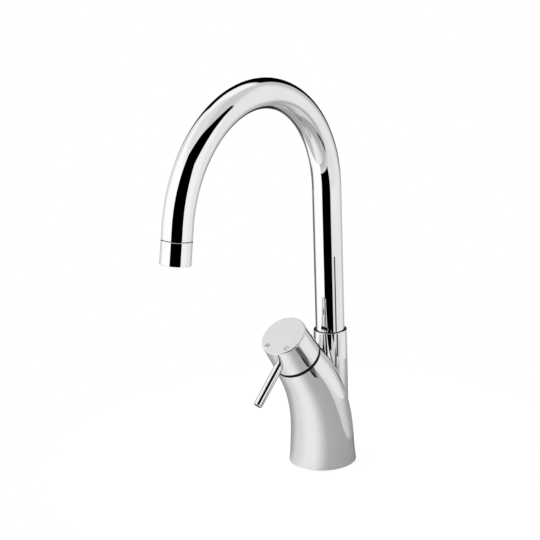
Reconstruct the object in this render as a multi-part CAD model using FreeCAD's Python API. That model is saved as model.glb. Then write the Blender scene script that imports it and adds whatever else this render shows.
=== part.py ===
import FreeCAD, Part
import math
import os

V = FreeCAD.Vector
UP = V(0, 0, 1)
ACROSS = V(1, 0, 0)

os.makedirs("parts", exist_ok=True)

# Single-lever kitchen faucet, in millimetres. The origin is the centre of the foot, on the
# worktop. +Z is up, the lever and the spout's outlet are towards -Y.

# Fits and gaps
running_fit = 0.05
close_fit = 0.02
loose_fit = 0.3
seat_gap = 0.1

# Trunk: a round column whose centre line rises, bends forward and ends in the round rim
column_radius = 28.4
column_height = 24.5
bend_radius = 110.0
lean = 34.5
neck_length = 18.5
rim_radius = 21.2
rim_chamfer = 0.7
mouth_wall = 1.9
even_taper = 0.5
foot_flare = 0.9
foot_flare_height = 6.5
trunk_sections = 13

# Underside of the foot
cavity_radius = 23.2
cavity_height = 12.0
stud_boss_radius = 6.5
stud_hole_radius = 3.4
stud_hole_depth = 22.0
inlet_spacing = 23.0
inlet_radius = 4.55
inlet_depth = 12.0
seal_inner_radius = 24.4
seal_width = 2.5
seal_height = 2.0

# Socket behind the trunk, which carries the spout
spout_axis_y = 14.2
socket_radius = 14.4
socket_rise = 13.75
socket_foot = 3.0
socket_edge_rounding = 0.4

# Spout tube: riser, arch and straight tail
tube_radius = 12.5
tube_wall = 1.0
riser_length = 126.2
arch_radius = 99.5
arch_angle = 170.4
tail_length = 11.0
spout_swing = 5.0

# Spout stem in the socket, with its grooves one below the other
stem_radius = 10.0
stem_bore = 6.5
stem_overlap = 12.0
stem_land = 2.4
stem_end = 1.0
sump_depth = 18.5
o_ring_thickness = 1.9
o_ring_groove = 2.4
lower_glide_height = 2.0
lower_glide_thickness = 1.5

# Glide ring at the top of the socket
glide_wall = 1.25
glide_floor = 1.5
glide_depth = 4.2
glide_setback = 0.4

# Screw at the back of the socket, whose point runs in the stem's groove
stop_screw_margin = 2.2
stop_screw_radius = 2.5
stop_point_radius = 1.5
stop_point_length = 1.4
stop_groove_depth = 1.6
key_width = 2.5
key_depth = 2.0

# Aerator at the end of the spout
aerator_length = 19.0
aerator_seam = 0.5
outlet_chamfer = 0.35
aerator_wall = 1.2
aerator_lip = 0.9
aerator_lip_height = 1.2
nipple_wall = 1.6
nipple_overlap = 8.0
nipple_reach = 6.0
washer_height = 1.6
core_recess = 1.0
core_holes = 8
core_hole_radius = 1.1
core_hole_ring = 6.2

# Handle cap and the gap under it. Heights along the leaning axis count from the pivot.
pivot_depth = 16.0
cap_gap = 2.1
cap_height = 27.6
cap_step = 0.1
cap_taper = 1.0
cap_edge_rounding = 1.2
cap_foot_rounding = 0.4
cap_wall = 3.0
cap_lip = 1.2
hub_radius = 8.5
lift_range = 20.0

# Lever rod
lever_radius = 3.85
lever_reach = 59.2
lever_drop = 14.0
lever_droop = 9.2
lever_shoulder = 12.0
lever_thread_radius = 3.0
lever_thread_length = 3.2
lever_end_rounding = 0.6
lever_boss_radius = 5.8

# Screw that clamps the cap on the cartridge stem, and its plug
clamp_screw_height = 31.0
clamp_screw_radius = 2.5
clamp_screw_length = 7.0
clamp_boss_radius = 4.6
plug_radius = 3.0
plug_length = 3.6

# Dome ring between trunk and cap
dome_gap = 0.6
dome_wall = 1.3
dome_hole_radius = 13.6
dome_seat_height = 12.8

# Nut that holds the cartridge
nut_setback = 0.4
nut_wall = 4.9
nut_slots = 4
nut_slot_width = 4.0
nut_slot_depth = 2.0

# Cartridge
pocket_step = 1.2
pocket_clearance = 0.2
shoulder_height = 8.0
neck_clearance = 0.4
neck_height = 11.5
neck_wall = 1.6
housing_bottom = -15.0
housing_wall = 1.9
shoulder_thickness = 2.0
rotor_bottom = -5.7
rail_height = 4.5
rail_spacing = 19.8
pin_radius = 2.0
stem_square = 8.0
stem_square_bottom = -3.5
stem_square_top = 36.0
arm_radius = 1.7
ball_radius = 2.4
ball_depth = 8.0
driver_radius = 12.0
driver_top = -6.2
driver_floor = 0.8
driver_lug = 8.4
moving_disc_radius = 11.6
moving_disc_top = -11.5
moving_disc_height = 2.5
mixing_depth = 1.5
fixed_disc_radius = 13.2
fixed_disc_height = 3.0
base_height = 3.5
port_radius = 3.0
inlet_port_x = 6.0
inlet_port_front = 4.0
outlet_port_back = 7.2
port_seal_wall = 1.3
port_seal_height = 1.3
peg_radius = 2.0
peg_length = 3.0
peg_x = 13.0
peg_back = 5.5

# Values that follow from the ones above
lean_angle = math.radians(lean)
rim_centre_z = column_height + bend_radius * math.sin(lean_angle) + neck_length * math.cos(lean_angle)
socket_top = rim_centre_z + socket_rise
riser_top = socket_top + riser_length
rim_height = pivot_depth - cap_gap / 2
cap_bottom = pivot_depth + cap_gap / 2
cap_top = cap_bottom + cap_height
cap_base_radius = rim_radius - cap_step
cap_top_radius = cap_base_radius - cap_taper
mouth_radius = rim_radius - mouth_wall
nut_radius = mouth_radius - nut_setback
nut_bore = nut_radius - nut_wall
neck_radius = nut_bore - neck_clearance
journal_radius = neck_radius - neck_wall - running_fit
pocket_radius = nut_radius - pocket_step
cartridge_radius = pocket_radius - pocket_clearance
housing_bore = cartridge_radius - housing_wall
lip_radius = cap_base_radius - cap_lip
hollow_radius = math.hypot(lip_radius, cap_bottom)
dome_radius = hollow_radius - dome_gap
fixed_disc_top = moving_disc_top - moving_disc_height - close_fit
fixed_disc_bottom = fixed_disc_top - fixed_disc_height
pocket_floor = fixed_disc_bottom - base_height
disc_travel = ball_depth * math.radians(lift_range)
seal_outer_radius = seal_inner_radius + seal_width
socket_bore = stem_radius + running_fit
glide_radius = tube_radius + running_fit + glide_wall
glide_top = socket_top - glide_setback
tube_foot = glide_top - glide_depth
glide_seat = tube_foot - seat_gap - glide_floor
stop_screw_height = glide_seat - stop_screw_margin - stop_screw_radius
stop_groove_half = stop_point_radius + loose_fit
upper_o_ring = stop_screw_height - stop_groove_half - stem_land - o_ring_groove / 2
lower_o_ring = upper_o_ring - o_ring_groove - stem_land
o_ring_heights = (upper_o_ring, lower_o_ring)
lower_glide_foot = lower_o_ring - o_ring_groove / 2 - stem_land - lower_glide_height
stem_bottom = lower_glide_foot - stem_end
sump_bottom = stem_bottom - sump_depth
ports = ((-inlet_port_x, -inlet_port_front), (inlet_port_x, -inlet_port_front), (0, outlet_port_back))

LEAN = FreeCAD.Rotation(ACROSS, lean)
LEANING_AXIS = LEAN.multVec(UP)


def trunk_point(s):
    """Point and direction of the trunk's centre line at the length s from the foot."""
    bend_length = bend_radius * lean_angle
    angle = min(max((s - column_height) / bend_length, 0), 1) * lean_angle
    y = -bend_radius * (1 - math.cos(angle))
    z = min(s, column_height) + bend_radius * math.sin(angle)
    rest = max(s - column_height - bend_length, 0)
    direction = V(0, -math.sin(angle), math.cos(angle))
    return V(0, y, z) + direction * rest, direction


def trunk_radius(s):
    """The trunk narrows towards the rim, and its foot spreads a little."""
    share = s / trunk_length
    taper = even_taper * share + (1 - even_taper) * share ** 2
    flare = foot_flare * math.exp(-s / foot_flare_height)
    return column_radius - (column_radius - rim_radius) * taper + flare


trunk_length = column_height + bend_radius * lean_angle + neck_length
RIM_CENTRE = trunk_point(trunk_length)[0]
PIVOT = RIM_CENTRE - LEANING_AXIS * rim_height
HANDLE_FRAME = FreeCAD.Placement(PIVOT, LEAN)


def placed(shape, frame):
    """A copy of the shape, moved from its own upright frame to its place."""
    moved = shape.copy()
    moved.Placement = frame.multiply(moved.Placement)
    return moved


def turned(points):
    """Solid of revolution about Z from (radius, height) points."""
    outline = Part.makePolygon([V(r, 0, z) for r, z in points + [points[0]]])
    return Part.Face(outline).revolve(V(0, 0, 0), UP, 360)


def eased(shape, height, rounding):
    """The shape with its level edges at one height rounded off."""
    edges = [edge for edge in shape.Edges if abs(edge.CenterOfMass.z - height) < running_fit / 10]
    return shape.makeFillet(rounding, edges)


def round_bar(radius, low, high, x=0, y=0):
    return Part.makeCylinder(radius, high - low, V(x, y, low))


def ring(inner, outer, low, high, x=0, y=0):
    return round_bar(outer, low, high, x, y).cut(round_bar(inner, low - 1, high + 1, x, y))


def edge_cut(radius, height, chamfer):
    """What a chamfer takes off the outer edge of a round bar's upper end."""
    return turned([(radius - chamfer, height), (radius + chamfer, height - 2 * chamfer),
                   (radius + chamfer, height + 1), (radius - chamfer, height + 1)])


def block(x, y, z):
    """Box between two values on each axis."""
    return Part.makeBox(x[1] - x[0], y[1] - y[0], z[1] - z[0], V(x[0], y[0], z[0]))


def bar_between(radius, start, end):
    return Part.makeCylinder(radius, (end - start).Length, start, end - start)


def hexagon_bar(width, start, direction, length):
    """Six-sided prism, width across flats, for the key's socket in a screw."""
    corner = width / math.sqrt(3)
    corners = [V(corner * math.cos(math.radians(60 * k)), corner * math.sin(math.radians(60 * k)), 0)
               for k in range(7)]
    prism = Part.Face(Part.makePolygon(corners)).extrude(UP * length)
    return placed(prism, FreeCAD.Placement(start, FreeCAD.Rotation(UP, direction)))


def leaning(x, y, height):
    """World point of a point given beside the leaning axis, its height counted from the pivot."""
    return HANDLE_FRAME.multVec(V(x, y, height))


def make_trunk():
    wires = []
    for k in range(trunk_sections):
        s = trunk_length * k / (trunk_sections - 1)
        centre, direction = trunk_point(s)
        wires.append(Part.Wire([Part.makeCircle(trunk_radius(s), centre, direction)]))
    return Part.makeLoft(wires, True, False)


def make_body_casting():
    socket = round_bar(socket_radius, socket_foot, socket_top, 0, spout_axis_y)
    body = make_trunk().fuse(eased(socket, socket_top, socket_edge_rounding))
    cuts = [placed(edge_cut(rim_radius, rim_height, rim_chamfer), HANDLE_FRAME)]
    cuts += cartridge_pocket_cuts() + socket_cuts() + foot_cuts() + passage_cuts()
    for cut in cuts:
        body = body.cut(cut)
    return body


def cartridge_pocket_cuts():
    """Leaning pocket: mouth for the dome ring, thread for the nut and bore for the cartridge."""
    steps = turned([(0, pocket_floor), (pocket_radius, pocket_floor), (pocket_radius, shoulder_height),
                    (nut_radius, shoulder_height), (nut_radius, dome_seat_height),
                    (mouth_radius, dome_seat_height), (mouth_radius, rim_height + 1), (0, rim_height + 1)])
    pegs = [round_bar(peg_radius + seat_gap, pocket_floor - peg_length - loose_fit, pocket_floor + 1,
                      side * peg_x, peg_back) for side in (-1, 1)]
    return [placed(cut, HANDLE_FRAME) for cut in [steps] + pegs]


def socket_cuts():
    """Bore for the spout's stem, seat of the glide ring and the stop screw's thread."""
    bore = round_bar(socket_bore, stem_bottom - loose_fit, socket_top, 0, spout_axis_y)
    sump = round_bar(stem_bore, sump_bottom, stem_bottom, 0, spout_axis_y)
    seat = round_bar(glide_radius + close_fit, glide_seat, socket_top + 1, 0, spout_axis_y)
    back = V(0, spout_axis_y + socket_radius + 1, stop_screw_height)
    screw_hole = bar_between(stop_screw_radius, V(0, spout_axis_y, stop_screw_height), back)
    return [bore, sump, seat, screw_hole]


def foot_cuts():
    """Hollow under the foot, groove of the seal, thread of the stud and threads of the two hoses."""
    hollow = ring(stud_boss_radius, cavity_radius, -1, cavity_height)
    groove = ring(seal_inner_radius, seal_outer_radius, -1, seal_height)
    cuts = [hollow, groove, round_bar(stud_hole_radius, -1, stud_hole_depth)]
    for side in (-1, 1):
        cuts.append(round_bar(inlet_radius, cavity_height - 1, cavity_height + inlet_depth,
                              side * inlet_spacing / 2, 0))
    return cuts


def passage_cuts():
    """Water ways: one from each hose to the cartridge, one from the cartridge to the spout."""
    cuts = []
    for (x, y), side in zip(ports[:2], (-1, 1)):
        top = leaning(x, y, pocket_floor + 1)
        foot = V(side * inlet_spacing / 2, 0, cavity_height + inlet_depth - port_radius)
        cuts.append(bar_between(port_radius, foot, top))
    outlet_x, outlet_y = ports[2]
    cuts.append(bar_between(port_radius, V(0, spout_axis_y, sump_bottom + port_radius + 1),
                            leaning(outlet_x, outlet_y, pocket_floor + 1)))
    return cuts


def make_foot_seal():
    return ring(seal_inner_radius + close_fit, seal_outer_radius - close_fit, 0, seal_height)


def make_upper_glide_ring():
    """Black ring that shows around the tube: a wall round the tube and a floor under its end."""
    return placed(turned([(stem_radius + seat_gap, glide_seat), (glide_radius, glide_seat),
                          (glide_radius, glide_top), (tube_radius + running_fit, glide_top),
                          (tube_radius + running_fit, glide_seat + glide_floor),
                          (stem_radius + seat_gap, glide_seat + glide_floor)]),
                  FreeCAD.Placement(V(0, spout_axis_y, 0), FreeCAD.Rotation()))


def make_stop_screw():
    """Set screw along Y with a slim point, and a six-sided socket in its outer end."""
    outer = spout_axis_y + socket_radius - loose_fit
    shoulder = spout_axis_y + socket_bore + loose_fit
    tip = shoulder - stop_point_length
    height = stop_screw_height
    screw = bar_between(stop_screw_radius, V(0, shoulder, height), V(0, outer, height))
    point = bar_between(stop_point_radius, V(0, tip, height), V(0, shoulder + 1, height))
    socket = hexagon_bar(key_width, V(0, outer + 1, height), V(0, -1, 0), key_depth + 1)
    return screw.fuse(point).cut(socket).removeSplitter()


SPOUT_FRAME = FreeCAD.Placement(V(0, spout_axis_y, 0), FreeCAD.Rotation(UP, spout_swing))
ARCH_TURN = FreeCAD.Placement(V(0, -arch_radius, riser_top), FreeCAD.Rotation(ACROSS, arch_angle))
OUTLET_FRAME = ARCH_TURN.multiply(FreeCAD.Placement(V(0, arch_radius, 0), FreeCAD.Rotation()))


def on_spout(shape):
    return placed(shape, SPOUT_FRAME)


def at_outlet(shape):
    """From the tail's own frame, +Z towards the outlet and 0 at the arch's end, to its place."""
    return placed(shape, SPOUT_FRAME.multiply(OUTLET_FRAME))


def bent_bar(radius):
    """Riser, arch and tail of one radius, upright on the spout's own axis."""
    riser = round_bar(radius, tube_foot, riser_top)
    section = Part.Face(Part.Wire([Part.makeCircle(radius, V(0, 0, riser_top), UP)]))
    arch = section.revolve(V(0, -arch_radius, riser_top), ACROSS, arch_angle)
    tail = placed(round_bar(radius, 0, tail_length), OUTLET_FRAME)
    return riser.fuse([arch, tail]).removeSplitter()


def make_spout_tube():
    tube = on_spout(bent_bar(tube_radius).cut(bent_bar(tube_radius - tube_wall)))
    return tube.cut(at_outlet(edge_cut(tube_radius, tail_length, outlet_chamfer)))


def make_spout_stem():
    """Turned stem: the thick part turns in the socket, the thin wall above is brazed into the tube."""
    insert_radius = tube_radius - tube_wall - close_fit
    stem = turned([(stem_bore, stem_bottom), (stem_radius, stem_bottom), (stem_radius, tube_foot),
                   (insert_radius, tube_foot), (insert_radius, tube_foot + stem_overlap),
                   (stem_bore, tube_foot + stem_overlap)])
    groove_floor = stem_radius - o_ring_thickness - close_fit
    for height in o_ring_heights:
        stem = stem.cut(ring(groove_floor, stem_radius + 1, height - o_ring_groove / 2,
                             height + o_ring_groove / 2))
    stem = stem.cut(ring(stem_radius - stop_groove_depth - seat_gap, stem_radius + 1,
                         stop_screw_height - stop_groove_half, stop_screw_height + stop_groove_half))
    stem = stem.cut(ring(stem_radius - lower_glide_thickness, stem_radius + 1, lower_glide_foot,
                         lower_glide_foot + lower_glide_height))
    return on_spout(stem)


def make_spout_o_rings():
    rings = [Part.makeTorus(stem_radius - o_ring_thickness / 2, o_ring_thickness / 2, V(0, 0, height))
             for height in o_ring_heights]
    return on_spout(Part.makeCompound(rings))


def make_lower_glide_ring():
    return on_spout(ring(stem_radius - lower_glide_thickness + close_fit, stem_radius,
                         lower_glide_foot + close_fit, lower_glide_foot + lower_glide_height - close_fit))


def make_outlet_nipple():
    """Sleeve brazed into the end of the tube, onto which the aerator housing is screwed."""
    outer = tube_radius - tube_wall - close_fit
    return at_outlet(ring(outer - nipple_wall, outer, tail_length - nipple_overlap,
                          tail_length + nipple_reach))


def make_aerator_housing():
    """Sleeve as wide as the tube, with a lip at its lower end that holds the core."""
    top = tail_length + aerator_seam
    bottom = top + aerator_length
    bore = tube_radius - aerator_wall
    thread = tube_radius - tube_wall
    nipple_end = tail_length + nipple_reach + close_fit
    edge = outlet_chamfer
    return at_outlet(turned([(thread, top), (tube_radius - edge, top), (tube_radius, top + edge),
                             (tube_radius, bottom - edge), (tube_radius - edge, bottom),
                             (bore - aerator_lip, bottom), (bore - aerator_lip, bottom - aerator_lip_height),
                             (bore, bottom - aerator_lip_height), (bore, nipple_end), (thread, nipple_end)]))


def make_aerator_washer():
    low = tail_length + nipple_reach + close_fit
    outer = tube_radius - aerator_wall - close_fit
    return at_outlet(ring(outer - nipple_wall, outer, low, low + washer_height))


def make_aerator_core():
    """Plastic insert with a ring of water holes, its outlet a little above the housing's lip."""
    bottom = tail_length + aerator_seam + aerator_length - aerator_lip_height
    top = tail_length + nipple_reach + 2 * close_fit + washer_height
    outer = tube_radius - aerator_wall - close_fit
    core = round_bar(outer, top, bottom)
    core = core.cut(round_bar(outer - aerator_lip - aerator_wall, bottom - core_recess, bottom + 1))
    for k in range(core_holes):
        angle = 2 * math.pi * k / core_holes
        core = core.cut(round_bar(core_hole_radius, top - 1, bottom + 1, core_hole_ring * math.cos(angle),
                                  core_hole_ring * math.sin(angle)))
    return at_outlet(core)


def on_handle(shape):
    return placed(shape, HANDLE_FRAME)


def make_cap_outside():
    cap = turned([(0, cap_bottom), (cap_base_radius, cap_bottom), (cap_top_radius, cap_top), (0, cap_top)])
    return eased(eased(cap, cap_top, cap_edge_rounding), cap_bottom, cap_foot_rounding)


def lever_frame():
    """Frame on the cap's axis whose +Z runs out along the lever."""
    out = V(0, -math.cos(math.radians(lever_droop)), -math.sin(math.radians(lever_droop)))
    return FreeCAD.Placement(V(0, 0, cap_top - lever_drop), FreeCAD.Rotation(UP, out))


def make_handle_cap():
    """Hollow cap with a hub for the cartridge stem and a boss each for the lever and the screw."""
    outside = make_cap_outside()
    hollow = ring(hub_radius, cap_base_radius - cap_wall - loose_fit, cap_bottom - 1, cap_top - cap_wall)
    cap = outside.cut(hollow)
    lever_boss = placed(round_bar(lever_boss_radius, 0, cap_base_radius), lever_frame())
    screw_boss = bar_between(clamp_boss_radius, V(0, 0, clamp_screw_height),
                             V(0, cap_base_radius, clamp_screw_height))
    cap = cap.fuse(lever_boss.fuse(screw_boss).common(outside))
    cap = cap.cut(Part.makeSphere(hollow_radius))
    half = stem_square / 2 + running_fit
    cap = cap.cut(block((-half, half), (-half, half), (0, stem_square_top + seat_gap)))
    cap = cap.cut(bar_between(clamp_screw_radius, V(0, 0, clamp_screw_height),
                              V(0, cap_base_radius + 1, clamp_screw_height)))
    plug_depth = plug_length + loose_fit
    cap = cap.cut(bar_between(plug_radius, V(0, cap_top_radius - plug_depth, clamp_screw_height),
                              V(0, cap_base_radius + 1, clamp_screw_height)))
    hole = round_bar(lever_radius + close_fit, lever_shoulder, cap_base_radius + lever_shoulder)
    thread = round_bar(lever_thread_radius, lever_shoulder - lever_thread_length, lever_shoulder)
    for cut in (hole, thread):
        cap = cap.cut(placed(cut, lever_frame()))
    return on_handle(cap.removeSplitter())


def make_lever_rod():
    """Straight rod with a thin threaded end that screws into the cap's boss."""
    thread_end = lever_shoulder - lever_thread_length + seat_gap
    rod = turned([(0, thread_end), (lever_thread_radius, thread_end), (lever_thread_radius, lever_shoulder),
                  (lever_radius, lever_shoulder), (lever_radius, lever_reach), (0, lever_reach)])
    return on_handle(placed(eased(rod, lever_reach, lever_end_rounding), lever_frame()))


def make_clamp_screw():
    start = V(0, stem_square / 2, clamp_screw_height)
    end = start + V(0, clamp_screw_length, 0)
    screw = bar_between(clamp_screw_radius, start, end)
    socket = hexagon_bar(key_width, end + V(0, 1, 0), V(0, -1, 0), key_depth + 1)
    return on_handle(screw.cut(socket))


def make_screw_plug():
    """Small plug whose outer end follows the cap's side."""
    start = V(0, cap_top_radius - plug_length, clamp_screw_height)
    plug = bar_between(plug_radius - close_fit, start, start + V(0, plug_length + plug_radius, 0))
    return on_handle(plug.common(make_cap_outside()))


def make_dome_ring():
    """Black ring with a ball-shaped top, centred on the pivot, that closes the gap under the cap.
    Its skirt stands in the mouth, and its brim covers the rim up to the chamfer."""
    outer = mouth_radius - running_fit
    brim_radius = rim_radius - rim_chamfer - running_fit
    ball = Part.makeSphere(dome_radius)
    roof = ring(dome_hole_radius, brim_radius, rim_height + seat_gap, dome_radius).common(ball)
    roof = roof.cut(Part.makeSphere(dome_radius - dome_wall))
    skirt = ring(outer - dome_wall, outer, dome_seat_height, dome_radius).common(ball)
    return on_handle(roof.fuse(skirt).removeSplitter())


def make_cartridge_nut():
    nut = ring(nut_bore, nut_radius - close_fit, shoulder_height, dome_seat_height)
    for k in range(nut_slots):
        slot = block((-nut_slot_width / 2, nut_slot_width / 2), (0, nut_radius + 1),
                     (dome_seat_height - nut_slot_depth, dome_seat_height + 1))
        slot.rotate(V(0, 0, 0), UP, 360 * k / nut_slots)
        nut = nut.cut(slot)
    return on_handle(nut)


def make_cartridge_housing():
    shoulder_under = shoulder_height - shoulder_thickness
    bore = journal_radius + running_fit
    return on_handle(turned([(housing_bore, housing_bottom), (cartridge_radius, housing_bottom),
                             (cartridge_radius, shoulder_height), (neck_radius, shoulder_height),
                             (neck_radius, neck_height), (bore, neck_height), (bore, shoulder_under),
                             (housing_bore, shoulder_under)]))


def make_cartridge_base():
    """Floor of the cartridge, with its three ports, seats for their seals and two pegs below."""
    base = turned([(0, pocket_floor), (cartridge_radius, pocket_floor), (cartridge_radius, housing_bottom),
                   (fixed_disc_radius + seat_gap, housing_bottom),
                   (fixed_disc_radius + seat_gap, fixed_disc_bottom), (0, fixed_disc_bottom)])
    for x, y in ports:
        base = base.cut(round_bar(port_radius, pocket_floor - 1, fixed_disc_bottom + 1, x, y))
        base = base.cut(round_bar(port_radius + port_seal_wall + seat_gap, pocket_floor - 1,
                                  pocket_floor + port_seal_height, x, y))
    for side in (-1, 1):
        base = base.fuse(round_bar(peg_radius, pocket_floor - peg_length, pocket_floor + 1, side * peg_x,
                                   peg_back))
    return on_handle(base.removeSplitter())


def make_port_seals():
    outer, top = port_radius + port_seal_wall, pocket_floor + port_seal_height
    seals = [ring(port_radius, outer, pocket_floor, top, x, y) for x, y in ports]
    return on_handle(Part.makeCompound(seals))


def make_fixed_disc():
    disc = round_bar(fixed_disc_radius, fixed_disc_bottom, fixed_disc_top)
    for x, y in ports:
        disc = disc.cut(round_bar(port_radius, fixed_disc_bottom - 1, fixed_disc_top + 1, x, y))
    return on_handle(disc)


def make_moving_disc():
    """Ceramic disc with the mixing hollow below and a square seat for the driver above."""
    y = disc_travel / 2
    low = moving_disc_top - moving_disc_height
    disc = round_bar(moving_disc_radius, low, moving_disc_top, 0, y)
    mixing_radius = moving_disc_radius - 2 * port_radius
    disc = disc.cut(round_bar(mixing_radius, low - 1, low + mixing_depth, 0, y))
    half = driver_lug / 2 + seat_gap
    return on_handle(disc.cut(block((-half, half), (y - half, y + half),
                                    (moving_disc_top - driver_floor, moving_disc_top + 1))))


def make_disc_driver():
    """Slider between the rotor's rails: the stem's ball moves it, and it carries the moving disc."""
    y = disc_travel / 2
    driver = round_bar(driver_radius, moving_disc_top, driver_top, 0, y)
    half = rail_spacing / 2 - loose_fit
    driver = driver.common(block((-half, half), (y - driver_radius, y + driver_radius),
                                 (moving_disc_top, driver_top)))
    lug = driver_lug / 2
    driver = driver.fuse(block((-lug, lug), (y - lug, y + lug),
                               (moving_disc_top - driver_floor + seat_gap, moving_disc_top)))
    return on_handle(driver.removeSplitter().cut(round_bar(ball_radius + 2 * seat_gap,
                                                           moving_disc_top + driver_floor, driver_top + 1)))


def make_rotor():
    """Turning part of the cartridge: journal above, flange with the pivot's bore, rails below."""
    flange_radius = housing_bore - loose_fit
    flange_top = shoulder_height - shoulder_thickness - 2 * seat_gap
    top = neck_height - 2 * seat_gap
    rotor = turned([(0, rotor_bottom), (flange_radius, rotor_bottom), (flange_radius, flange_top),
                    (journal_radius, flange_top), (journal_radius, top), (0, top)])
    rails = round_bar(flange_radius, rotor_bottom - rail_height, rotor_bottom)
    rails = rails.cut(block((-rail_spacing / 2, rail_spacing / 2), (-flange_radius, flange_radius),
                            (rotor_bottom - rail_height, rotor_bottom)))
    rotor = rotor.fuse(rails)
    half = stem_square / 2 + loose_fit
    tilt = math.radians(lift_range)
    back = top * math.tan(tilt) + stem_square / 2 / math.cos(tilt) + loose_fit
    rotor = rotor.cut(block((-half, half), (-half, back), (0, top + 1)))
    low_corner = math.hypot(stem_square / 2, stem_square_bottom) + loose_fit
    rotor = rotor.cut(block((-half, half), (-low_corner, low_corner), (rotor_bottom - 1, pin_radius)))
    pin_bore = bar_between(pin_radius, V(-cartridge_radius, 0, 0), V(cartridge_radius, 0, 0))
    return on_handle(rotor.cut(pin_bore).removeSplitter())


def make_pivot_pin():
    half = housing_bore - 2 * loose_fit - seat_gap
    return on_handle(bar_between(pin_radius - close_fit, V(-half, 0, 0), V(half, 0, 0)))


def make_cartridge_stem():
    """Square stem on the pivot, with an arm and a ball below it."""
    half = stem_square / 2
    stem = block((-half, half), (-half, half), (stem_square_bottom, stem_square_top))
    stem = stem.fuse(round_bar(arm_radius, -ball_depth, stem_square_bottom + 1))
    stem = stem.fuse(Part.makeSphere(ball_radius, V(0, 0, -ball_depth)))
    pin_bore = bar_between(pin_radius + running_fit, V(-stem_square, 0, 0), V(stem_square, 0, 0))
    return on_handle(stem.cut(pin_bore).removeSplitter())


NODES = {
    "body_casting": make_body_casting,
    "foot_seal": make_foot_seal,
    "upper_glide_ring": make_upper_glide_ring,
    "spout_stop_screw": make_stop_screw,
    "spout_tube": make_spout_tube,
    "spout_stem": make_spout_stem,
    "spout_o_rings": make_spout_o_rings,
    "lower_glide_ring": make_lower_glide_ring,
    "outlet_nipple": make_outlet_nipple,
    "aerator_housing": make_aerator_housing,
    "aerator_washer": make_aerator_washer,
    "aerator_core": make_aerator_core,
    "handle_cap": make_handle_cap,
    "lever_rod": make_lever_rod,
    "clamp_screw": make_clamp_screw,
    "screw_plug": make_screw_plug,
    "dome_ring": make_dome_ring,
    "cartridge_nut": make_cartridge_nut,
    "cartridge_housing": make_cartridge_housing,
    "cartridge_base": make_cartridge_base,
    "port_seals": make_port_seals,
    "fixed_disc": make_fixed_disc,
    "moving_disc": make_moving_disc,
    "disc_driver": make_disc_driver,
    "cartridge_rotor": make_rotor,
    "pivot_pin": make_pivot_pin,
    "cartridge_stem": make_cartridge_stem,
}

for node, make in NODES.items():
    shape = make()
    shape.exportStep(f"parts/{node}.step")
    print(node, "valid" if shape.isValid() else "NOT VALID", len(shape.Solids), round(shape.Volume, 1))
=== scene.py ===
import math

import bpy
from mathutils import Matrix, Vector


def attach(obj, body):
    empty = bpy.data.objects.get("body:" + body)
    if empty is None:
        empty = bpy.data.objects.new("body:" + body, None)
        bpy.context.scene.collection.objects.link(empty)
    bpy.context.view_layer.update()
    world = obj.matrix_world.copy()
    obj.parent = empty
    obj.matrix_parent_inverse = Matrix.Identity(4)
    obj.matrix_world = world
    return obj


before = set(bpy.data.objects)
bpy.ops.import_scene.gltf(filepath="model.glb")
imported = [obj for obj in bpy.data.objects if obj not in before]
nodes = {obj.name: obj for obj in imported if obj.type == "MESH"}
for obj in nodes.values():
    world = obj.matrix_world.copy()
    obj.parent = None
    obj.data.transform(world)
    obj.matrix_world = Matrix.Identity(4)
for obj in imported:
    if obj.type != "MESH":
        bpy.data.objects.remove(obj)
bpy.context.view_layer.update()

# Where the camera stands: turned about Z, looking down, rolled a little, its distance from
# camera_target and how far it is moved to the right and up
camera_turn = math.radians(42.14)
camera_dip = math.radians(17.64)
camera_roll = math.radians(-1.86)
camera_distance = 1.74437
camera_target = Vector((0, -0.001, 0))
camera_aim = (-0.03403, 0.16551)

# Its lens: the focal length, the frame's side and the lens axis's place in the frame, all in
# pixels, and the sensor's width in millimetres
focal_pixels = 1988.6
frame_pixels = 540
centre_pixels = (277.09, 270.32)
sensor_width = 36.0

# The handle's leaning axis and the cap's top, as the CAD has them
lean = math.radians(34.5)
pivot = Vector((0, -0.0213569, 0.0897303))
cap_top = 0.04465
LEANING = Matrix.Translation(pivot) @ Matrix.Rotation(lean, 4, "X")

# Letters on the cap's top: distance from its middle, angle to each side of the lever, turn of both,
# height, a capital's share of the font's size, what the strokes gain, and depth
letter_ring = 0.0158
letter_angle = 39.0
letter_turn = 6.0
letter_height = 0.0040
font_capital = 0.7
letter_weight = 0.00007
letter_depth = 0.00001

# The satin finish of the cap's top starts just below it and runs out down the rounded edge
satin_start = 0.0001
satin_fade = 0.0009

# Painted shade of the gap under the cap: a thin black sheet on the chamfer of the trunk's rim. The
# rim's radius and its height on the leaning axis, the chamfer, the sheet's thickness and the hair's
# breadth between it and the metal
rim_radius = 0.0212
rim_height = 0.01495
rim_chamfer = 0.0007
rim_shade_thickness = 0.00006
rim_shade_lift = 0.00001
rim_shade_facets = 256

# Painted shade in the seam above the aerator: a thin dark ring that shows as a dark line there,
# with the seam's place between the middles of the outlet nipple and of the washer
seam_shade_inner = 0.01150
seam_shade_outer = 0.01196
seam_shade_height = 0.00032
seam_from_nipple = 0.00125
seam_shade_rounding = 0.000144
seam_shade_facets = 128

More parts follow.
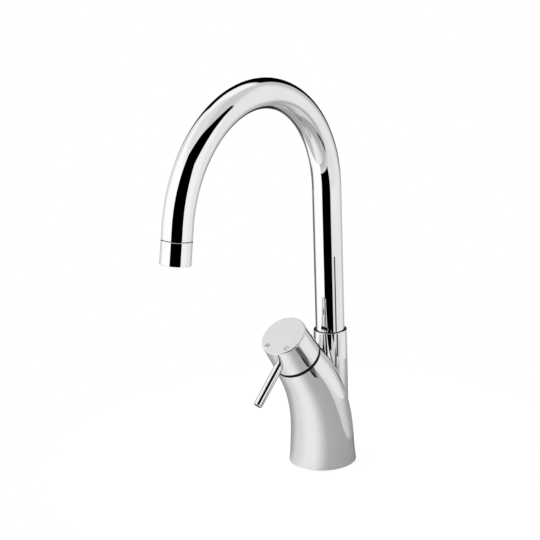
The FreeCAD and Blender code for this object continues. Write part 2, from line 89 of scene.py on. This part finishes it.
# Studio, as panels by compass direction counted from the camera's and by height, in degrees.
# Each row has the left and right edge, the lower and upper edge, the edges' softness, the light
# and the bow of the upper edge, which falls off to both sides of panel_middle.
studio_base = 0.82
panel_middle = 10.0
STUDIO = [
    (-150, -36, -55, 50, 14, 1.12, 0),
    (-180, -118, -30, 34, 14, 0.86, 0),
    (30, 135, 34, 82, 12, 0.66, 0),
    (36, 84, -16, 29, 4, 0.98, 0),
    (84, 125, -36, 32, 8, 0.88, 0),
    (125, 152, -36, 40, 8, 0.62, 0),
    (140, 180, 41, 66, 6, 1.05, 0),
    (-180, -140, 41, 66, 6, 1.05, 0),
    (-38, 180, -90, -38, 8, 0.44, 0),
    (-180, -110, -90, -50, 10, 0.50, 0),
    (-110, -38, -90, -58, 10, 0.58, 0),
    (146, 180, -52, -20.5, 2, 0.03, 0),
    (-180, -140, -50, -26, 7, 0.10, 0),
    (-180, -124, -26, -14.8, 1.3, 0.20, 0),
    (-41, 37.5, -13, 68, 0.8, 0.0, 0.0045),
    (-40, 25.5, -34, -13, 0.8, 0.0, 0),
    (35, 88, 28.5, 68, 1.2, 0.0, 0.0045),
    (145, 180, -13.5, 38, 2, 0.0, 0),
    (-180, -151, -2, 39, 1.5, 0.0, 0),
]

# Floor: a round sheet of pale paper, lit up to white where the camera sees it, and plain white
# beyond floor_fade
floor_place = (0, -0.01, -0.0002)
floor_radius = 0.275
floor_facets = 128
floor_paper = 0.35
floor_white = 0.84
floor_fade = (0.13, 0.25)

# What the chrome shows of the floor: its light by compass direction from the foot
FLOOR_LIGHT = [(-180, 0.20), (-137, 0.23), (-88, 0.55), (-42, 0.70), (-26, 0.69), (28, 0.25),
               (70, 0.22), (100, 0.20), (140, 0.07), (180, 0.20)]

# An even patch at the left, further out than left_distance
left_light = 0.33
left_sector = (-132, -76)
left_soft = 5
left_distance = (0.093, 0.101)

# A lighter half at the right that starts far_nearest from the foot. At far_bend_angle the start is
# far_bend further out, and e times as much for every far_bend_step degrees less. The light rises
# over far_rim and sinks over far_sector to the share far_least.
far_light = 0.49
far_rim_light = 0.60
far_rim = (0.19, 0.275)
far_sector = (87, 130)
far_least = 0.4
far_nearest = 0.085
far_edge = 0.006
far_bend = 0.043
far_bend_angle = 82
far_bend_step = 12
far_soft = 6

# Finishes: the share of its gloss that the chrome and the lever keep at a grazing angle, and how
# the noise of the metals and plastics is laid out, from broad patches to fine grain
chrome_colour = (0.90, 0.90, 0.905)
chrome_grazing = 0.8
lever_grazing = 0.08
noise_range = (0.3, 0.7)
fine_detail = (4.0, 0.6)
metal_patches = 35.0
metal_grain_share = 0.4
metal_tone_range = (0.35, 0.65)
metal_dulling = 0.985
brush_stretch = (1.0, 14.0, 14.0)
brush_strokes = 260.0
satin_roughness = (0.50, 0.62)
plastic_patches = 60.0
plastic_dulling = 0.9
plastic_spread = (0.05, 0.08)
grain_depth = 0.0001

# Cards that show only in the chrome. Each row has the light, the place, the two directions of the
# card's plane and its outline in millimetres along them.
leaning_card = ((0.0970, -0.0186, 0.0690), (-0.3529, 0.9357, 0.0), (-0.2009, -0.0758, 0.9767))
patch_card = ((0.0965, -0.0188, 0.0689), *leaning_card[1:])
CARDS = [
    # Grey streak down the cap and the trunk, and its dark middle
    (0.12, *leaning_card, [(-20, -29), (-10, -14), (2, 3), (10, 3), (19, -3), (17, -12), (14, -25),
                           (10, -31), (-3, -44), (-9, -43)]),
    (0.0, *patch_card, [(-8, -30), (-2, -26), (6, -28), (6, -34), (0, -40), (-7, -38)]),
    # Thin dark line in the riser, and a pale strip low behind it
    (0.08, (0.211, 0.006, 0.0), (0.0, 1.0, 0.0), (0.0, 0.0, 1.0),
     [(-21, 22), (21, 22), (21, 122), (-21, 122)]),
    (0.68, (0.236, -0.051, 0.0), (0.1719, 0.9851, 0.0), (0.0, 0.0, 1.0),
     [(-130, 0), (150, 0), (150, 22), (-130, 22)]),
]


class Nodes:
    """Builds a node tree from plain calls, each of which gives back an output socket."""

    def __init__(self, tree):
        self.tree = tree
        tree.nodes.clear()

    def add(self, kind, inputs=(), output=0, **settings):
        """Adds one node. Its inputs are sockets to link or plain values."""
        node = self.tree.nodes.new(kind)
        for name, value in settings.items():
            setattr(node, name, value)
        for key, value in dict(inputs).items():
            if isinstance(value, bpy.types.NodeSocket):
                self.tree.links.new(value, node.inputs[key])
            else:
                node.inputs[key].default_value = value
        return node.outputs[output] if node.outputs else node

    def math(self, operation, *values):
        return self.add("ShaderNodeMath", dict(enumerate(values)), operation=operation)

    def ramp(self, value, low, high, to_low=0.0, to_high=1.0):
        """Smooth step from to_low at low to to_high at high."""
        inputs = {0: value, 1: low, 2: high, 3: to_low, 4: to_high}
        return self.add("ShaderNodeMapRange", inputs, interpolation_type="SMOOTHSTEP")

    def mix(self, share, first, second):
        """Plain mix of two numbers."""
        return self.add("ShaderNodeMix", {0: share, 2: first, 3: second}, data_type="FLOAT")

    def colour(self, share, first, second):
        """Plain mix of two colours."""
        return self.add("ShaderNodeMix", {0: share, 6: first, 7: second}, output=2,
                        data_type="RGBA")

    def noise(self, vector, scale, detail=3.0, roughness=0.5):
        return self.add("ShaderNodeTexNoise", {"Vector": vector, "Scale": scale, "Detail": detail,
                                               "Roughness": roughness})

    def here(self):
        """Place on the piece, in its own coordinates."""
        return self.add("ShaderNodeTexCoord", output=3)

    def apart(self, vector):
        """The three parts of a vector."""
        return self.add("ShaderNodeSeparateXYZ", {0: vector}).node.outputs

    def compass(self, vector):
        """Direction round Z in degrees, counted from where the camera stands."""
        _, _, forward = camera_axes()
        towards_camera = math.atan2(-forward.y, -forward.x)
        turned = self.add("ShaderNodeVectorRotate", {"Vector": vector, "Angle": -towards_camera},
                          rotation_type="Z_AXIS")
        x, y, _ = self.apart(turned)
        return self.math("DEGREES", self.math("ARCTAN2", y, x))

    def between(self, value, low, high, soft):
        """1 between two values and 0 outside them, with soft edges. An edge may be left open."""
        share = 1.0
        if low is not None:
            share = self.ramp(value, low - soft, low + soft)
        if high is not None:
            below = self.ramp(value, high - soft, high + soft, 1.0, 0.0)
            share = self.math("MULTIPLY", share, below)
        return share


def blank_material(name):
    """New material with no nodes yet, and its node builder."""
    material = bpy.data.materials.new(name)
    material.use_nodes = True
    return material, Nodes(material.node_tree)


def camera_axes():
    """Right, up and forward of the camera before its roll."""
    forward = Vector((-math.sin(camera_turn) * math.cos(camera_dip),
                      math.cos(camera_turn) * math.cos(camera_dip), -math.sin(camera_dip)))
    right = Vector((math.cos(camera_turn), math.sin(camera_turn), 0))
    return right, right.cross(forward), forward


def place_camera():
    """Sets up the camera from its turn, dip, roll, distance and lens."""
    right, up, forward = camera_axes()
    place = camera_target - camera_distance * forward + camera_aim[0] * right + camera_aim[1] * up
    rolled_right = math.cos(camera_roll) * right + math.sin(camera_roll) * up
    rolled_up = -math.sin(camera_roll) * right + math.cos(camera_roll) * up
    data = bpy.data.cameras.new("camera")
    data.sensor_width = sensor_width
    data.lens = sensor_width * focal_pixels / frame_pixels
    data.shift_x = 0.5 - centre_pixels[0] / frame_pixels
    data.shift_y = centre_pixels[1] / frame_pixels - 0.5
    camera = bpy.data.objects.new("camera", data)
    turn = Matrix((rolled_right, rolled_up, -forward)).transposed().to_4x4()
    camera.matrix_world = Matrix.Translation(place) @ turn
    bpy.context.scene.collection.objects.link(camera)
    bpy.context.scene.camera = camera


def light_studio():
    """White round the object as far as the camera sees, light and dark panels in the chrome."""
    world = bpy.data.worlds.new("studio")
    world.use_nodes = True
    bpy.context.scene.world = world
    n = Nodes(world.node_tree)
    direction = n.add("ShaderNodeTexCoord")
    compass = n.compass(direction)
    height = n.math("DEGREES", n.math("ARCSINE", n.apart(direction)[2]))
    light = studio_base
    aside = n.math("POWER", n.math("SUBTRACT", compass, panel_middle), 2.0)
    for left, right, low, high, soft, level, bow in STUDIO:
        raised = n.math("ADD", height, n.math("MULTIPLY", aside, bow))
        tall = n.math("MULTIPLY", n.between(height, low, None, soft),
                      n.between(raised, None, high, soft))
        wide = n.between(compass, left if left > -180 else None,
                         right if right < 180 else None, soft)
        light = n.mix(n.math("MULTIPLY", tall, wide), light, level)
    seen = n.add("ShaderNodeLightPath")
    light = n.mix(seen, light, 1.0)
    background = n.add("ShaderNodeBackground", {"Color": (1, 1, 1, 1), "Strength": light})
    n.add("ShaderNodeOutputWorld", {0: background})


def lay_floor():
    """Round pale floor, white to the camera, with the object's soft shadow on it."""
    bpy.ops.mesh.primitive_circle_add(vertices=floor_facets, radius=floor_radius, fill_type="NGON",
                                      location=floor_place)
    floor = bpy.context.object
    floor.name = "floor"
    material, n = blank_material("floor")
    path = n.add("ShaderNodeLightPath").node
    where = n.here()
    compass = n.compass(where)
    distance = n.add("ShaderNodeVectorMath", {0: where}, output=1, operation="LENGTH")
    shown = n.math("MAXIMUM", path.outputs["Is Camera Ray"], path.outputs["Is Transmission Ray"])
    mirrored = path.outputs["Is Glossy Ray"]
    light = FLOOR_LIGHT[0][1]
    for (start, low), (end, high) in zip(FLOOR_LIGHT, FLOOR_LIGHT[1:]):
        light = n.math("ADD", light, n.ramp(compass, start, end, 0.0, high - low))
    left = n.math("MULTIPLY", n.between(compass, *left_sector, left_soft),
                  n.ramp(distance, *left_distance))
    light = n.mix(left, light, left_light)
    steps = n.math("DIVIDE", n.math("SUBTRACT", far_bend_angle, compass), far_bend_step)
    start = n.math("ADD", n.math("MULTIPLY", n.math("EXPONENT", steps), far_bend), far_nearest)
    far = n.math("MULTIPLY", n.between(compass, 0, None, far_soft),
                 n.ramp(n.math("SUBTRACT", distance, start), -far_edge, far_edge))
    stronger = n.math("MULTIPLY", n.ramp(distance, *far_rim, far_light, far_rim_light),
                      n.ramp(compass, *far_sector, 1.0, far_least))
    light = n.mix(far, light, stronger)
    strength = n.math("ADD", n.math("MULTIPLY", shown, floor_white),
                      n.math("MULTIPLY", mirrored, light))
    glow = n.add("ShaderNodeEmission", {"Strength": strength})
    paper = n.add("ShaderNodeBsdfDiffuse", {"Color": (floor_paper, floor_paper, floor_paper, 1)})
    lit = n.add("ShaderNodeAddShader", {0: paper, 1: glow})
    white = n.add("ShaderNodeEmission", {"Strength": 1.0})
    edge = n.math("MULTIPLY", shown, n.ramp(distance, *floor_fade))
    faded = n.add("ShaderNodeMixShader", {0: edge, 1: lit, 2: white})
    n.add("ShaderNodeOutputMaterial", {0: faded})
    floor.data.materials.append(material)


def raise_cards():
    """Small cards round the object. They block no light, and no camera sees them."""
    for number, (light, place, across, up, outline) in enumerate(CARDS, 1):
        name = "card_%d" % number
        points = [Vector(place) + (Vector(across) * x + Vector(up) * y) / 1000 for x, y in outline]
        mesh = bpy.data.meshes.new(name)
        mesh.from_pydata(points, [], [range(len(points))])
        card = bpy.data.objects.new(name, mesh)
        bpy.context.scene.collection.objects.link(card)
        material, n = blank_material(name)
        mirrored = n.add("ShaderNodeLightPath").node.outputs["Is Glossy Ray"]
        shade = n.add("ShaderNodeEmission", {"Strength": light})
        clear = n.add("ShaderNodeBsdfTransparent")
        shown = n.add("ShaderNodeMixShader", {0: mirrored, 1: clear, 2: shade})
        n.add("ShaderNodeOutputMaterial", {0: shown})
        mesh.materials.append(material)


def metal(name, colour, roughness, spread=0.0, grain=900.0, satin_above=None, grazing=1.0):
    """Bare metal whose roughness and tone vary a little from place to place. What lies higher than
    satin_above on the handle's axis is brushed to a satin finish. At a grazing angle it keeps the
    share grazing of its gloss."""
    material, n = blank_material(name)
    where = n.here()
    broad = n.noise(where, metal_patches)
    fine = n.noise(where, grain, *fine_detail)
    mottled = n.math("ADD", n.math("MULTIPLY", broad, 1 - metal_grain_share),
                     n.math("MULTIPLY", fine, metal_grain_share))
    rough = n.ramp(mottled, *noise_range, roughness, roughness + spread)
    dull = (*[c * metal_dulling for c in colour], 1)
    tone = n.colour(n.ramp(broad, *metal_tone_range), dull, (*colour, 1))
    if satin_above is not None:
        up = LEANING.to_3x3() @ Vector((0, 0, 1))
        along = n.add("ShaderNodeVectorMath", {0: where, 1: up}, output=1, operation="DOT_PRODUCT")
        height = n.math("SUBTRACT", along, up.dot(pivot))
        satin = n.ramp(height, satin_above - satin_fade, satin_above)
        brushed = n.add("ShaderNodeMapping", {"Vector": where, "Scale": brush_stretch})
        strokes = n.ramp(n.noise(brushed, brush_strokes), *noise_range, *satin_roughness)
        rough = n.mix(satin, rough, strokes)
    edge = (grazing, grazing, grazing, 1)
    shader = n.add("ShaderNodeBsdfPrincipled", {"Base Color": tone, "Metallic": 1.0,
                                                "Roughness": rough, "Specular Tint": edge})
    n.add("ShaderNodeOutputMaterial", {0: shader})
    return material


def plastic(name, colour, roughness, grain=1500.0, bump=0.05):
    """Moulded plastic or rubber with a faint even grain."""
    material, n = blank_material(name)
    where = n.here()
    fine = n.noise(where, grain, *fine_detail)
    broad = n.noise(where, plastic_patches)
    dull = (*[c * plastic_dulling for c in colour], 1)
    tone = n.colour(n.ramp(broad, *noise_range), dull, (*colour, 1))
    smoother, rougher = plastic_spread
    rough = n.ramp(fine, *noise_range, roughness - smoother, roughness + rougher)
    relief = n.add("ShaderNodeBump", {"Strength": bump, "Distance": grain_depth, "Height": fine})
    shader = n.add("ShaderNodeBsdfPrincipled", {"Base Color": tone, "Roughness": rough,
                                                "Normal": relief})
    n.add("ShaderNodeOutputMaterial", {0: shader})
    return material


def dress_frame():
    """Gives every CAD piece the finish of its slot."""
    finishes = {
        "chrome": metal("chrome", chrome_colour, 0.006, 0.008, grazing=chrome_grazing),
        "chrome_cap": metal("chrome_cap", chrome_colour, 0.006, 0.008,
                            satin_above=cap_top - satin_start, grazing=chrome_grazing),
        "chrome_lever": metal("chrome_lever", chrome_colour, 0.008, 0.010, grazing=lever_grazing),
        "steel": metal("steel", (0.62, 0.62, 0.63), 0.25, 0.12),
        "brass": metal("brass", (0.78, 0.60, 0.30), 0.24, 0.14),
        "black_plastic": plastic("black_plastic", (0.006, 0.006, 0.006), 0.75),
        "white_plastic": plastic("white_plastic", (0.72, 0.72, 0.70), 0.4),
        "grey_plastic": plastic("grey_plastic", (0.22, 0.22, 0.23), 0.4),
        "aerator_plastic": plastic("aerator_plastic", (0.55, 0.56, 0.57), 0.35),
        "ceramic": plastic("ceramic", (0.80, 0.79, 0.76), 0.2, 2500.0, 0.02),
        "rubber": plastic("rubber", (0.02, 0.02, 0.02), 0.6),
    }
    for node in nodes.values():
        for slot in node.material_slots:
            slot.material = finishes[slot.material.name.split(".")[0]]


def mark_cap():
    """The two plain letters for hot and cold, etched thin and dark into the cap's top."""
    etched = plastic("etched_mark", (0.07, 0.07, 0.075), 0.55)
    for side, letter in ((-1, "H"), (1, "C")):
        text = bpy.data.curves.new("letter_" + letter, "FONT")
        text.body = letter
        text.size = letter_height / font_capital
        text.align_x, text.align_y = "CENTER", "CENTER"
        text.offset = letter_weight
        text.extrude = letter_depth
        mark = bpy.data.objects.new("mark_" + letter, text)
        bpy.context.scene.collection.objects.link(mark)
        angle = math.radians(side * letter_angle + letter_turn)
        place = Vector((letter_ring * math.sin(angle), -letter_ring * math.cos(angle), cap_top))
        mark.matrix_world = LEANING @ Matrix.Translation(place)
        bpy.ops.object.select_all(action="DESELECT")
        mark.select_set(True)
        bpy.context.view_layer.objects.active = mark
        bpy.ops.object.convert(target="MESH")
        bpy.ops.object.transform_apply(location=True, rotation=True, scale=True)
        mark.data.materials.append(etched)
        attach(mark, "handle")


def middle(node):
    """Middle of a node's box, which lies on the axis of a round piece."""
    corners = [Vector(corner) for corner in node.bound_box]
    return sum(corners, Vector()) / len(corners)


def shade_seam():
    """Painted shade of the seam between the spout's end and the aerator: a thin dark ring with
    rounded edges.
    """
    start = middle(nodes["outlet_nipple"])
    axis = (middle(nodes["aerator_washer"]) - start).normalized()
    bpy.ops.object.select_all(action="DESELECT")
    bpy.ops.mesh.primitive_cylinder_add(vertices=seam_shade_facets, radius=seam_shade_outer,
                                        depth=seam_shade_height, end_fill_type="NOTHING",
                                        location=start + axis * seam_from_nipple,
                                        rotation=axis.to_track_quat("Z", "Y").to_euler())
    seam_shade = bpy.context.object
    seam_shade.name = "seam_shade_ring"
    bpy.ops.object.transform_apply(location=True, rotation=True, scale=True)
    wall = seam_shade.modifiers.new("wall", "SOLIDIFY")
    wall.thickness = seam_shade_outer - seam_shade_inner
    lip = seam_shade.modifiers.new("lip", "BEVEL")
    lip.width = seam_shade_rounding
    lip.segments = 2
    bpy.ops.object.modifier_apply(modifier="wall")
    bpy.ops.object.modifier_apply(modifier="lip")
    bpy.ops.object.shade_smooth_by_angle()
    # The near-black here is painted shade for the seam above the aerator
    seam_shade.data.materials.append(plastic("seam_painted_shade", (0.012, 0.012, 0.012), 0.6))
    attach(seam_shade, "spout")


def paint_rim_shade():
    """Painted shade of the gap under the cap: a thin black sheet that lies on the chamfer of the
    trunk's rim.
    """
    bpy.ops.object.select_all(action="DESELECT")
    bpy.ops.mesh.primitive_cone_add(vertices=rim_shade_facets, radius1=rim_radius,
                                    radius2=rim_radius - rim_chamfer, depth=rim_chamfer,
                                    end_fill_type="NOTHING",
                                    location=(0, 0, rim_height - rim_chamfer / 2))
    rim_shade = bpy.context.object
    rim_shade.name = "rim_painted_shade"
    rim_shade.matrix_world = LEANING @ rim_shade.matrix_world
    bpy.ops.object.transform_apply(location=True, rotation=True, scale=True)
    clear = rim_shade.modifiers.new("clear", "DISPLACE")
    clear.strength = rim_shade_lift
    clear.mid_level = 0
    wall = rim_shade.modifiers.new("wall", "SOLIDIFY")
    wall.thickness = rim_shade_thickness
    wall.offset = 1
    bpy.ops.object.modifier_apply(modifier="clear")
    bpy.ops.object.modifier_apply(modifier="wall")
    bpy.ops.object.shade_smooth_by_angle()
    # The black here is painted shade for the gap between the cap and the trunk
    rim_shade.data.materials.append(plastic("rim_painted_shade", (0.006, 0.006, 0.006), 0.75))
    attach(rim_shade, "body")


place_camera()
light_studio()
lay_floor()
raise_cards()
dress_frame()
mark_cap()
shade_seam()
paint_rim_shade()

bpy.context.scene.view_settings.view_transform = "Standard"
